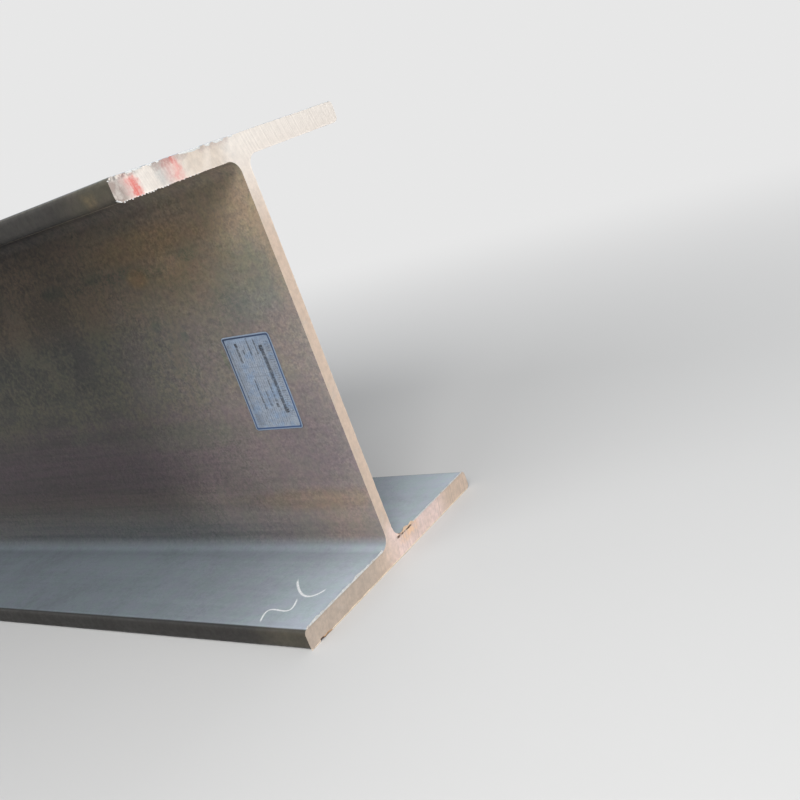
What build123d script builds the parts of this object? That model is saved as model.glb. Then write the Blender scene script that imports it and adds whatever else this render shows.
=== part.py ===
from build123d import *
import os

# A hot-rolled steel I-beam with parallel flanges, cut square to a stock length, and the printed paper
# label stuck to its web near one end.
#
# Frame: millimetres and degrees. The origin is the middle of the bottom flange's underside, +X runs
# along the beam towards the labelled end, +Y points away from the labelled side of the web, +Z is up.

# Rolled section: 446 x 302 x 13 x 21
section_depth = 446.0
flange_width = 302.0
flange_thickness = 21.0
web_thickness = 13.0
root_radius = 13.0
toe_radius = 5.0

# Stock length between the two sawn ends
stock_length = 6000.0

# Paper label, and where it is stuck on the web
label_length = 67.0
label_height = 105.0
label_thickness = 0.25
label_corner_radius = 4.0
# From the sawn end to the label's centre
label_setback = 83.0
# From mid-depth of the web down to the label's centre
label_drop = 10.0
# Clockwise, seen from the labelled side
label_turn = 1.8

# Places that follow from the sizes above
beam_start = -stock_length / 2
beam_end = stock_length / 2
mid_depth = section_depth / 2
bottom_flange_middle = flange_thickness / 2
top_flange_middle = section_depth - flange_thickness / 2
labelled_web_face = -web_thickness / 2

os.makedirs("parts", exist_ok=True)

# The beam: two flanges and a web rolled as one piece, filleted at the roots and rounded at the toes.
with BuildPart() as i_beam:
    with BuildSketch(Plane.YZ.offset(beam_start)) as section:
        with Locations((0, bottom_flange_middle), (0, top_flange_middle)):
            Rectangle(flange_width, flange_thickness)
        with Locations((0, mid_depth)):
            Rectangle(web_thickness, section_depth)
        corner_columns = section.vertices().group_by(Axis.X)
        root_corners = corner_columns[1] + corner_columns[-2]
        fillet(root_corners, radius=root_radius)
        corner_columns = section.vertices().group_by(Axis.X)
        toe_corners = corner_columns[0] + corner_columns[-1]
        fillet(toe_corners, radius=toe_radius)
    extrude(amount=stock_length)

# The label: a thin sheet with rounded corners, face to face with the web and stuck on slightly askew.
label_plane = Plane(
    origin=(beam_end - label_setback, labelled_web_face, mid_depth - label_drop),
    x_dir=(1, 0, 0),
    z_dir=(0, -1, 0),
)
with BuildPart() as web_label:
    with BuildSketch(label_plane):
        RectangleRounded(label_length, label_height, label_corner_radius, rotation=-label_turn)
    extrude(amount=label_thickness)

i_beam.part.label = "i_beam"
web_label.part.label = "web_label"

export_step(i_beam.part, "parts/i_beam.step")
export_step(web_label.part, "parts/web_label.step")
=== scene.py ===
"""A length of rolled steel I-beam with a printed stock label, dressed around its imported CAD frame.

Metres, in the frame of the CAD: +X runs along the beam to the labelled end, +Y points away from the
labelled side of the web, +Z is up.
"""

import logging
import math
from collections.abc import Callable
from dataclasses import dataclass, field
from enum import Enum
from functools import partial, reduce

import bpy
import numpy as np
from mathutils import Matrix, Vector


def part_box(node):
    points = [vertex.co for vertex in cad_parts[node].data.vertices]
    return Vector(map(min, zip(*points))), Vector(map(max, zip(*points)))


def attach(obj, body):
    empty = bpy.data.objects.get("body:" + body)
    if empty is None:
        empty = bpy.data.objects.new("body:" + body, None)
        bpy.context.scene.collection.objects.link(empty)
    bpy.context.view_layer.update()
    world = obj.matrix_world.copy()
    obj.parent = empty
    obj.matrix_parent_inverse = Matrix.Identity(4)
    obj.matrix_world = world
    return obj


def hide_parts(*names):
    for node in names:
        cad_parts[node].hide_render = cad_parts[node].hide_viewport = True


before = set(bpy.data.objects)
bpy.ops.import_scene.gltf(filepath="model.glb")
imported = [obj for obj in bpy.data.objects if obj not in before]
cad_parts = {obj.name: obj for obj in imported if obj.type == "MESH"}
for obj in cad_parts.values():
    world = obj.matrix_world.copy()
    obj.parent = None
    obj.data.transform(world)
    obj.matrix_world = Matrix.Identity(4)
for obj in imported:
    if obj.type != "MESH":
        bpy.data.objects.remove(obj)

log = logging.getLogger("beam")

MM = 0.001
BODY = "root"

Colour = tuple[float, float, float, float]
Triple = tuple[float, float, float]
Pair = tuple[float, float]
Corner = tuple[int, np.ndarray]


def tint(red: int, green: int, blue: int) -> Colour:
    """Turn a screen colour into the linear one that a shader takes.

    Args:
        red: red, 0 to 255.
        green: green, 0 to 255.
        blue: blue, 0 to 255.

    Returns:
        The linear colour, opaque.
    """
    linear = []
    for level in (red / 255, green / 255, blue / 255):
        linear.append(level / 12.92 if level <= 0.04045 else ((level + 0.055) / 1.055) ** 2.4)
    return (linear[0], linear[1], linear[2], 1.0)


def place_object(name: str, data: bpy.types.ID) -> bpy.types.Object:
    """Put a new object in the scene.

    Args:
        name: its name.
        data: its mesh, lamp or camera.

    Returns:
        The object.
    """
    made = bpy.data.objects.new(name, data)
    bpy.context.scene.collection.objects.link(made)
    return made


@dataclass(frozen=True)
class Reading:
    """What one node gives: a number, a place or a colour. Sums are written with it as with a number."""

    board: "NodeBoard"
    socket: bpy.types.NodeSocket

    def maths(self, operation: str, *values: "Feed") -> "Reading":
        """Work out one sum, by Blender's name for it."""
        return self.board.read("ShaderNodeMath", dict(enumerate(values)), operation=operation)

    def __add__(self, other: "Feed") -> "Reading":
        """Add a value."""
        return self.maths("ADD", self, other)

    def __sub__(self, other: "Feed") -> "Reading":
        """Take a value away."""
        return self.maths("SUBTRACT", self, other)

    def __rsub__(self, other: float) -> "Reading":
        """Take this away from a number."""
        return self.maths("SUBTRACT", other, self)

    def __mul__(self, other: "Feed") -> "Reading":
        """Multiply by a value."""
        return self.maths("MULTIPLY", self, other)

    def __truediv__(self, other: "Feed") -> "Reading":
        """Divide by a value."""
        return self.maths("DIVIDE", self, other)

    def __abs__(self) -> "Reading":
        """Drop the sign."""
        return self.maths("ABSOLUTE", self)

    def root(self) -> "Reading":
        """Take the square root."""
        return self.maths("SQRT", self)

    def sine(self) -> "Reading":
        """Take the sine."""
        return self.maths("SINE", self)

    def cosine(self) -> "Reading":
        """Take the cosine."""
        return self.maths("COSINE", self)

    def most(self, other: "Feed") -> "Reading":
        """Take the greater of two values."""
        return self.maths("MAXIMUM", self, other)

    def least(self, other: "Feed") -> "Reading":
        """Take the smaller of two values."""
        return self.maths("MINIMUM", self, other)

    def decay(self, reach: float) -> "Reading":
        """Fall away from 1 at 0, to about a third over each reach."""
        return self.maths("POWER", math.exp(-1 / reach), self)

    def fade(self, low: float, high: float, start: "Feed" = 0.0, end: "Feed" = 1.0) -> "Reading":
        """Go smoothly from one level to another as this passes a range.

        Args:
            low: where the change begins.
            high: where it ends. It may be below low.
            start: the level at low.
            end: the level at high.

        Returns:
            The level.
        """
        if low > high:
            low, high, start, end = high, low, end, start
        feeds = {"Value": self, "From Min": low, "From Max": high, "To Min": start, "To Max": end}
        return self.board.read("ShaderNodeMapRange", feeds, "Result", interpolation_type="SMOOTHSTEP")

    def hill(self, centre: float, reach: float, soft: float) -> "Reading":
        """Make a band that is 1 as far as reach from a centre and fades to 0 over soft."""
        return abs(self - centre).fade(reach, reach + soft, 1.0, 0.0)

    def between(self, rise: Pair, fall: Pair) -> "Reading":
        """Make a band that comes in over one range and goes out over another."""
        return self.fade(*rise) * self.fade(fall[1], fall[0])

    def line(self, centre: float, wide: float) -> "Reading":
        """Rule one line of a given width across the label, in millimetres."""
        return self.hill(centre, wide * 0.35, wide * 0.3)

    def span(self, low: float, high: float) -> "Reading":
        """Keep the ink between two places on the label, in millimetres."""
        return self.hill((low + high) / 2, (high - low) / 2 - 0.2, 0.4)

    def times(self, factors: "Feed") -> "Reading":
        """Multiply each part of a place or a colour by a factor of its own."""
        return self.board.read("ShaderNodeVectorMath", {0: self, 1: factors}, operation="MULTIPLY")

    def grey(self) -> "Reading":
        """Make a colour of this level in red, green and blue."""
        return self.board.read("ShaderNodeCombineXYZ", {0: self, 1: self, 2: self})

    def shaded(self, level: "Reading") -> "Reading":
        """Darken or lighten a colour by a factor."""
        return self.times(level.grey())

    def noise(self, scale: float, detail: float = 3.0, rough: float = 0.55, warp: float = 0.0) -> "Reading":
        """Make cloudy noise at this place.

        Args:
            scale: features a metre.
            detail: how many finer layers are added.
            rough: how strong the finer layers are.
            warp: how far the noise is pulled about.

        Returns:
            The noise, about 0.5.
        """
        feeds = {"Vector": self, "Scale": scale, "Detail": detail, "Roughness": rough, "Distortion": warp}
        return self.board.read("ShaderNodeTexNoise", feeds)

    def relief(self, depth: float, strength: float, under: "Reading | None" = None) -> "Reading":
        """Turn this height into a bumped normal.

        Args:
            depth: metres that a height of 1 stands for.
            strength: how much of it shows.
            under: a normal that is bumped further.

        Returns:
            The normal.
        """
        feeds = {"Height": self, "Distance": depth, "Strength": strength}
        if under is not None:
            feeds["Normal"] = under
        return self.board.read("ShaderNodeBump", feeds)


Feed = float | tuple | Reading


class NodeBoard:
    """The nodes of one material or of the world, laid and joined by short calls."""

    def __init__(self, tree: bpy.types.NodeTree) -> None:
        """Start with a bare tree."""
        self.tree = tree
        tree.nodes.clear()

    def node(self, kind: str, feeds: dict[str | int, Feed], **settings: object) -> bpy.types.Node:
        """Add one node.

        Args:
            kind: Blender's name for the sort of node.
            feeds: what goes into its inputs, by name or place.
            settings: its properties.

        Returns:
            The node.
        """
        made = self.tree.nodes.new(kind)
        for name, value in settings.items():
            setattr(made, name, value)
        for key, value in feeds.items():
            if isinstance(value, Reading):
                self.tree.links.new(value.socket, made.inputs[key])
            else:
                made.inputs[key].default_value = value
        return made

    def read(
        self, kind: str, feeds: dict[str | int, Feed] | None = None, output: str | int = 0, **settings: object
    ) -> Reading:
        """Add one node and read one of its outputs.

        Args:
            kind: Blender's name for the sort of node.
            feeds: what goes into its inputs.
            output: which output is read.
            settings: its properties.

        Returns:
            The reading.
        """
        return Reading(self, self.node(kind, feeds or {}, **settings).outputs[output])

    def mix(self, share: Feed, under: Feed, over: Feed) -> Reading:
        """Lay one colour over another, by the share of the upper one that shows."""
        return self.read("ShaderNodeMix", {0: share, 6: under, 7: over}, 2, data_type="RGBA")

    def seen_directly(self) -> Reading:
        """Tell the rays that show the background from the ones that light the object.

        Returns:
            1 for a ray from the camera, off a gloss or through a clear body, else 0.
        """
        path = self.node("ShaderNodeLightPath", {}).outputs
        kinds = ("Is Camera Ray", "Is Glossy Ray", "Is Transmission Ray")
        return reduce(Reading.most, [Reading(self, path[kind]) for kind in kinds])


class Coat(NodeBoard):
    """One material as it is painted, layer over layer."""

    def __init__(self, name: str, print_map: str = "") -> None:
        """Start a material.

        Args:
            name: the material's name.
            print_map: the UV map that its places are read from. Without one they are the frame's.
        """
        self.material = bpy.data.materials.new(name)
        self.material.use_nodes = True
        super().__init__(self.material.node_tree)
        if print_map:
            self.place = self.read("ShaderNodeUVMap", uv_map=print_map)
        else:
            self.place = self.read("ShaderNodeTexCoord", output="Object")
        parts = self.node("ShaderNodeSeparateXYZ", {0: self.place}).outputs
        self.x, self.y, self.z = (Reading(self, part) for part in parts)

    def ground(self, share: Feed, first: Colour, second: Colour) -> None:
        """Lay the first coat, a blend of two colours."""
        self.colour = self.mix(share, first, second)

    def lay(self, share: Feed, colour: Feed) -> None:
        """Lay a colour over what is there, by the share that shows."""
        self.colour = self.mix(share, self.colour, colour)

    def wash(self, share: Feed, factors: Feed) -> None:
        """Change what is there by a factor for each of red, green and blue, by the share that shows."""
        self.lay(share, self.colour.times(factors))

    def shade(self, level: Reading) -> None:
        """Darken or lighten what is there by a factor."""
        self.colour = self.colour.shaded(level)

    def close(self, roughness: Feed, normal: Reading, ior: float = 1.5) -> bpy.types.Material:
        """Close the material with its surface.

        Args:
            roughness: roughness.
            normal: bumped normal.
            ior: index of refraction.

        Returns:
            The finished material.
        """
        feeds = {"Base Color": self.colour, "Roughness": roughness, "Normal": normal, "IOR": ior}
        surface = self.read("ShaderNodeBsdfPrincipled", feeds)
        self.node("ShaderNodeOutputMaterial", {"Surface": surface})
        return self.material


class RolledCoat(Coat):
    """The coat of the rolled faces, with the noises and the distances that its layers share."""

    def __init__(self, half_length: float) -> None:
        """Start the material.

        Args:
            half_length: from the middle of the beam to its ends.
        """
        super().__init__("rolled_scale")
        self.along = half_length - abs(self.x)
        self.streak = self.place.times((0.9, 46.0, 46.0)).noise(1.0, 4.0, 0.6)
        self.hair = self.place.times((5.0, 260.0, 260.0)).noise(1.0, 2.0, 0.5)
        self.mottle = self.place.noise(170.0, 4.0, 0.62, 0.3)
        self.grit = self.place.noise(430.0, 2.0, 0.6)
        self.patch = self.place.noise(12.0, 5.0, 0.62, 0.8)
        self.broad = self.place.times((1.6, 5.0, 5.0)).noise(1.0, 2.0, 0.5)
        self.ragged = self.patch * 0.6 + self.mottle * 0.4
        self.lined = self.streak * 0.7 + self.hair * 0.3
        # Lighter along the middle, in broad uneven patches: near the ends the scale keeps the painted shade
        # in its tints.
        self.middle_lift = self.along.fade(0.5, 1.4) * self.broad.fade(0.36, 0.64, 0.35, 1.0) + 1.0
        self.lying = self.z.between((0.0175, 0.0205), (0.0213, 0.034)).most(self.z.fade(0.4445, 0.4459))

    def swing(self, size: float) -> Reading:
        """Wander by a length or a level, in hand-sized patches."""
        return (self.patch - 0.5) * size

    def turned(self, centre: Pair, cos: float, sin: float) -> tuple[Reading, Reading]:
        """Give the place on the flange in a stroke's own directions.

        Args:
            centre: the stroke's middle.
            cos: cosine of the stroke's turn.
            sin: sine of the stroke's turn.

        Returns:
            The place along the stroke and square to it.
        """
        from_x = self.x - centre[0]
        from_y = self.y - centre[1]
        return from_x * cos + from_y * sin, from_y * cos - from_x * sin


@dataclass(frozen=True)
class Band:
    """A band of colour along the web, between two heights, that a noise breaks up."""

    colour: Colour
    rise: Pair
    fall: Pair
    lined: bool
    noise: Pair
    levels: Pair


@dataclass(frozen=True)
class Bloom:
    """A patch on the web where the scale's colour changes."""

    x: float
    z: float
    reach_x: float
    reach_z: float
    wash: Triple
    strength: float
    speckled: bool = False


@dataclass(frozen=True)
class RolledFinish:
    """Mill scale on the rolled faces, with rust bloom, dust towards the sawn ends and chalk strokes, and
    painted light and shade: brighter towards a sawn end, darker a little way in and under the top flange.
    """

    # The scale and band tints are darkened with painted shade, which the coat lifts again along the middle.
    scale_dark: Colour = tint(40, 40, 39)
    scale_light: Colour = tint(52, 51, 49)
    scale_blue: Colour = tint(43, 47, 51)
    brown: Colour = tint(71, 66, 61)
    plum: Colour = tint(62, 53, 57)
    olive: Colour = tint(66, 63, 49)
    ochre: Colour = tint(79, 64, 46)
    haze: Colour = tint(104, 112, 120)
    warm_grit: Colour = tint(255, 250, 244)
    cool_grit: Colour = tint(244, 250, 255)
    high_dust: Colour = tint(158, 144, 124)
    low_dust: Colour = tint(148, 136, 133)
    # blue-grey dust, its blue partly painted sky light; paler towards a sawn end with painted light
    sky_tinted_dust: Colour = tint(111, 120, 128)
    lit_flange_dust: Colour = tint(184, 195, 205)
    # dark scale of the toes, darkened further with painted shade
    toe_scale_and_shade: Colour = tint(24, 21, 17)
    toe_olive: Colour = tint(64, 59, 46)
    toe_ochre: Colour = tint(94, 80, 54)
    # painted highlight for the rounded top corner of the toes
    toe_corner_highlight: Colour = tint(96, 95, 88)
    chalk: Colour = tint(236, 238, 240)
    speck: Triple = (0.5, 0.62, 0.58)
    verdigris: Triple = (0.46, 0.7, 0.67)
    teal: Triple = (0.72, 0.86, 0.95)
    # a plain darkening wash: a darker patch on the web, and painted shade under the top flange
    darkening: Triple = (0.8, 0.82, 0.86)
    # painted shade for the web under the top flange
    under_flange_shade: Triple = (0.76, 0.72, 0.78)
    pale: Triple = (1.24, 1.15, 1.05)
    bright: Triple = (1.22, 1.2, 1.2)
    amber: Triple = (1.22, 1.02, 0.72)
    moss: Triple = (0.84, 1.0, 0.84)
    plum_tone: Triple = (1.012, 0.978, 1.012)
    green_tone: Triple = (0.98, 1.024, 0.98)
    bands: tuple[Band, ...] = (
        Band(brown, (0.022, 0.034), (0.088, 0.118), True, (0.38, 0.6), (0.35, 1.0)),
        Band(plum, (0.055, 0.115), (0.165, 0.225), True, (0.36, 0.62), (0.4, 1.0)),
        Band(olive, (0.14, 0.22), (0.32, 0.4), False, (0.44, 0.6), (0.1, 0.9)),
        Band(ochre, (0.282, 0.332), (0.392, 0.442), False, (0.4, 0.58), (0.4, 0.95)),
    )
    blooms: tuple[Bloom, ...] = (
        Bloom(2.95, 0.318, 0.05, 0.034, teal, 0.85),
        Bloom(2.905, 0.292, 0.03, 0.026, speck, 0.55, True),
        Bloom(2.8795, 0.243, 0.003, 0.012, moss, 0.9),
        Bloom(2.8, 0.346, 0.013, 0.009, amber, 0.75),
        Bloom(2.83, 0.378, 0.09, 0.016, amber, 0.6),
        Bloom(2.75, 0.165, 0.11, 0.016, moss, 0.7),
        Bloom(2.92, 0.078, 0.09, 0.013, amber, 0.5),
        Bloom(2.965, 0.15, 0.05, 0.05, darkening, 0.8),
        Bloom(2.955, 0.052, 0.035, 0.028, pale, 0.8),
        # painted shade on the web just under the top flange
        Bloom(2.8, 0.412, 0.05, 0.02, darkening, 0.8),
        Bloom(2.85, 0.345, 0.045, 0.014, pale, 0.85),
        Bloom(2.855, 0.352, 0.02, 0.01, bright, 0.9),
        Bloom(2.972, 0.378, 0.036, 0.034, bright, 0.5),
        Bloom(2.61, 0.365, 0.045, 0.026, bright, 1.0),
        Bloom(2.652, 0.356, 0.02, 0.007, verdigris, 0.6),
        Bloom(2.692, 0.352, 0.02, 0.006, verdigris, 0.6, True),
        Bloom(2.73, 0.358, 0.016, 0.006, verdigris, 0.6),
        Bloom(2.764, 0.353, 0.012, 0.007, verdigris, 0.65, True),
        Bloom(2.79, 0.356, 0.02, 0.005, verdigris, 0.6, True),
        Bloom(2.83, 0.35, 0.024, 0.006, speck, 0.8, True),
        Bloom(2.886, 0.356, 0.012, 0.008, verdigris, 0.6, True),
        Bloom(2.845, 0.33, 0.05, 0.014, speck, 0.5, True),
        Bloom(2.798, 0.292, 0.007, 0.006, verdigris, 0.6),
        Bloom(2.834, 0.276, 0.006, 0.006, verdigris, 0.6),
        Bloom(2.86, 0.312, 0.008, 0.005, speck, 0.45, True),
    )
    hook_centre: Pair = (2.964, -0.0968)
    hook_turn: Pair = (0.937, 0.35)
    hook_bend: float = 45.0
    hook_run: Triple = (-0.008, 0.019, 0.003)
    hook_half_width: float = 1.3 * MM
    wave_centre: Pair = (2.941, -0.1215)
    wave_turn: Pair = (0.6, 0.8)
    wave_rate: float = 174.0
    wave_height: float = 9.8 * MM
    wave_slope: float = 1.7
    wave_run: Triple = (0.0, 0.0185, 0.003)
    wave_half_width: float = 1.1 * MM

    def build(self) -> bpy.types.Material:
        """Build the material, layer over layer.

        Returns:
            The material for the rolled faces.
        """
        coat = RolledCoat(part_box("i_beam")[1][0])
        self._scale(coat)
        self._specks(coat)
        self._end_dust_and_light(coat)
        self._blooms(coat)
        self._flange_floor(coat)
        self._toe(coat)
        self._grit(coat)
        self._chalk(coat)
        roughness = (coat.mottle + coat.patch).fade(0.7, 1.3, 0.68, 0.5).most(coat.lying * 0.8)
        normal = (coat.mottle + coat.hair * 0.6).relief(0.2 * MM, 0.5)
        return coat.close(roughness, coat.place.noise(620.0, 3.0, 0.6).relief(0.1 * MM, 0.5, normal))

    def _scale(self, coat: RolledCoat) -> None:
        """Lay the bare mill scale, the bands of rust bloom from the bottom flange up, and painted shade on
        the web under the top flange.

        Args:
            coat: the coat so far.
        """
        coat.ground(coat.streak.fade(0.36, 0.64), self.scale_dark, self.scale_light)
        coat.lay(coat.patch.fade(0.45, 0.6) * coat.broad.fade(0.42, 0.6, 0.1, 0.8), self.scale_blue)
        for band in self.bands:
            noise = coat.lined if band.lined else coat.ragged
            share = coat.z.between(band.rise, band.fall) * noise.fade(*band.noise, *band.levels)
            coat.lay(share, band.colour)
        # Painted shade: the web darkens just under the top flange, less so right at a sawn end.
        under_flange = coat.z.between((0.385, 0.42), (0.428, 0.432))
        coat.wash(under_flange * coat.along.fade(0.0, 0.12, 0.55, 0.9), self.under_flange_shade)

    def _specks(self, coat: RolledCoat) -> None:
        """Scatter dark specks along a line below the ochre, and more thinly under it.

        Args:
            coat: the coat so far.
        """
        wander = coat.z + (coat.broad - 0.5) * 0.08
        line = wander.hill(0.352, 0.006, 0.016) * coat.patch.fade(0.4, 0.52)
        thin = coat.z.hill(0.31, 0.03, 0.06) * coat.patch.fade(0.46, 0.58) * 0.6
        coat.wash(line.most(thin) * coat.grit.fade(0.5, 0.62) * 0.9, self.speck)

    def _end_dust_and_light(self, coat: RolledCoat) -> None:
        """Lift the scale along the middle, brighten it towards a sawn end with painted light, and dust it
        with flash rust there.

        Args:
            coat: the coat so far.
        """
        coat.shade(coat.middle_lift)
        # Painted light: the scale brightens towards a sawn end, steeply in the last few centimetres, and
        # flash rust dust is laid over it there.
        share = (coat.along + coat.swing(0.16)).fade(0.365, -0.02) * coat.mottle.fade(0.3, 0.7, 0.85, 1.0)
        close = coat.along.decay(0.03) * 0.35
        coat.shade(share * 1.25 + close + 1.0)
        dust = coat.mix(coat.z.fade(0.24, 0.36), self.low_dust, self.high_dust)
        coat.lay(share * 0.6, dust.shaded(close + 1.0))

    def _blooms(self, coat: RolledCoat) -> None:
        """Lay the single patches, one of them painted shade under the top flange, and a haze low on the web.

        Args:
            coat: the coat so far.
        """
        ragged = coat.swing(1.6)
        for bloom in self.blooms:
            across = (coat.x - bloom.x) * (1 / bloom.reach_x)
            up = (coat.z - bloom.z) * (1 / bloom.reach_z)
            away = (across * across + up * up).root() + ragged
            share = away.fade(1.5, 0.5) * bloom.strength
            if bloom.speckled:
                share = share * coat.grit.fade(0.46, 0.58)
            coat.wash(share, bloom.wash)
        above_root = coat.z.between((0.02, 0.028), (0.034, 0.092))
        coat.lay(above_root * coat.along.fade(0.02, 0.24, 0.06, 0.3), self.haze)

    def _flange_floor(self, coat: RolledCoat) -> None:
        """Lay the blue-grey dust on the faces that it lies on, its blue partly painted sky light, paler
        towards a sawn end with painted light, and darker towards the web root and on the fillet with painted
        shade.

        Args:
            coat: the coat so far.
        """
        # Dust, its blue partly painted sky light, paler towards a sawn end with painted light.
        dust = coat.mix(coat.along.decay(0.12), self.sky_tinted_dust, self.lit_flange_dust)
        dust = dust.shaded((coat.streak + coat.patch).fade(0.7, 1.3, 0.93, 1.05))
        # Painted shade: darker towards the web root and on the root fillet, on the bottom flange only.
        root_shade = abs(coat.y).fade(0.018, 0.055, 0.86, 1.0) * coat.z.fade(0.0213, 0.027, 1.0, 0.66)
        dust = dust.shaded(root_shade.most(coat.z.fade(0.2, 0.3)))
        coat.lay(coat.lying * (coat.mottle + coat.patch).fade(0.6, 1.1, 0.84, 0.97), dust)

    def _toe(self, coat: RolledCoat) -> None:
        """Lay the dark scale of the flange toes, darkened with painted shade, olive near a sawn end, with a
        painted highlight along the top corner.

        Args:
            coat: the coat so far.
        """
        near = coat.along.fade(0.085, 0.025) * coat.patch.fade(0.42, 0.56, 0.75, 1.0)
        toe = coat.mix(near, self.toe_scale_and_shade, self.toe_olive).shaded(coat.middle_lift)
        wander = coat.swing(0.03)
        spot = (coat.along + wander).hill(0.029, 0.001, 0.011) * (coat.z + wander).hill(0.431, 0.001, 0.008)
        toe = coat.mix(spot * coat.mottle.fade(0.3, 0.65, 0.35, 0.75), toe, self.toe_ochre)
        # Painted highlight along the rounded top corner of the top flange's toes.
        corner = coat.z.fade(0.4436, 0.4454) * coat.hair.fade(0.35, 0.55, 0.4, 0.9)
        toe = coat.mix(corner, toe, self.toe_corner_highlight).shaded(coat.streak.fade(0.3, 0.7, 0.82, 1.18))
        coat.lay(abs(coat.y).fade(0.1462, 0.1484) * 0.96, toe)

    def _grit(self, coat: RolledCoat) -> None:
        """Break the colour up finely, less where dust lies and low down near the ends.

        Args:
            coat: the coat so far.
        """
        even = coat.lying.fade(0.0, 1.0, 1.0, 0.35)
        uneven = coat.mottle * 0.32 + coat.hair * 0.18 + coat.grit * 0.6
        local = coat.place.noise(26.0, 2.0, 0.6).fade(0.38, 0.6, 1.05, 1.9)
        calm = coat.along.fade(0.04, 0.25, coat.z.fade(0.06, 0.16, 0.62, 0.88), 1.12)
        coat.shade((uneven - 0.55) * even * local * calm + 1.0)
        coat.wash(even * 0.35, coat.mix(coat.mottle.fade(0.4, 0.6), self.cool_grit, self.warm_grit))
        tone = coat.place.noise(60.0, 4.0, 0.65).fade(0.38, 0.62)
        coat.colour = coat.mix(tone, coat.colour.times(self.plum_tone), coat.colour.times(self.green_tone))

    def _stroke(self, off: Reading, steep: Reading, half_width: float) -> Reading:
        """Draw a line of even width along a curve.

        Args:
            off: how far a place is off the curve, square to the stroke's run.
            steep: the curve's slope there.
            half_width: half the line's width.

        Returns:
            How much chalk there is.
        """
        away = abs(off) / (steep * steep + 1.0).root()
        return away.fade(half_width * 1.35, half_width * 0.55)

    def _chalk(self, coat: RolledCoat) -> None:
        """Draw two loose chalk strokes on the labelled side of the bottom flange.

        Args:
            coat: the coat so far.
        """
        across, up = coat.turned(self.hook_centre, *self.hook_turn)
        bowl = up - across * across * self.hook_bend
        hook = self._stroke(bowl, across * (2 * self.hook_bend), self.hook_half_width)
        hook = hook * across.hill(*self.hook_run)
        run, side = coat.turned(self.wave_centre, *self.wave_turn)
        phase = run * self.wave_rate
        bend = side + phase.sine() * self.wave_height
        wave = self._stroke(bend, phase.cosine() * self.wave_slope, self.wave_half_width)
        wave = wave * run.hill(*self.wave_run)
        crumb = coat.place.noise(900.0, 2.0).fade(0.34, 0.5, 0.45, 1.0)
        coat.lay(hook.most(wave) * crumb * coat.z.hill(0.021, 0.0006, 0.0004), self.chalk)


@dataclass(frozen=True)
class Smear:
    """One streak of paint or grime on the end of the top flange, from one place to another."""

    start: Pair
    end: Pair
    half_width: float
    strength: float


class SawnCoat(Coat):
    """The coat of the sawn faces, with the noises and the regions that its layers share."""

    STROKE_RADIUS = 0.9
    STROKE_HEIGHT = 0.22
    TOOTH_PITCH = 2.1 * MM

    def __init__(self) -> None:
        """Start the material."""
        super().__init__("sawn_steel")
        self.mottle = self.place.noise(170.0, 4.0, 0.62)
        self.patch = self.place.noise(28.0, 4.0, 0.62, 0.6)
        self.ragged = (self.place.noise(300.0, 3.0, 0.7) - 0.5) * 2.0
        self.thin = self.place.noise(420.0, 2.0, 0.6).fade(0.36, 0.56, 0.72, 1.0)
        self.low = self.z.fade(0.05, 0.026)
        self.high = self.z.fade(0.405, 0.425)
        self.far_high = self.high * self.y.fade(-0.02, 0.02)
        self.rough = self.z.fade(0.05, 0.03, 1.0, 1.4) - self.far_high * 0.55

    def marks(self) -> Reading:
        """Draw the arcs that the saw's teeth leave.

        Returns:
            The height of the marks, 0 to 1.
        """
        rise = self.z - self.STROKE_HEIGHT
        run = self.y - (self.STROKE_RADIUS**2 - rise * rise).root()
        spokes = self.read("ShaderNodeCombineXYZ", {0: run, 1: 0.0, 2: 0.0})
        coarse = spokes.noise(1 / self.TOOTH_PITCH, 2.0, 0.7)
        fine = spokes.noise(2.6 / self.TOOTH_PITCH, 1.0, 0.6)
        return (coarse * 0.7 + fine * 0.3).fade(0.32, 0.66)

    def streak(self, smear: Smear) -> Reading:
        """Lay one streak with ragged edges.

        Args:
            smear: the streak.

        Returns:
            How thick it lies, 0 to 1.
        """
        run_y, run_z = smear.end[0] - smear.start[0], smear.end[1] - smear.start[1]
        square = run_y**2 + run_z**2
        off_y = self.y - smear.start[0]
        off_z = self.z - smear.start[1]
        share = (off_y * (run_y / square) + off_z * (run_z / square)).most(0.0).least(1.0)
        gap_y = off_y - share * run_y
        gap_z = off_z - share * run_z
        away = (gap_y * gap_y + gap_z * gap_z).root() * (1 / smear.half_width) + self.ragged
        return away.fade(2.0, 0.2) * smear.strength

    def smeared(self, smears: tuple[Smear, ...]) -> Reading:
        """Lay several streaks, the thickest on top."""
        return reduce(Reading.most, [self.streak(smear) for smear in smears]) * self.thin


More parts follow.
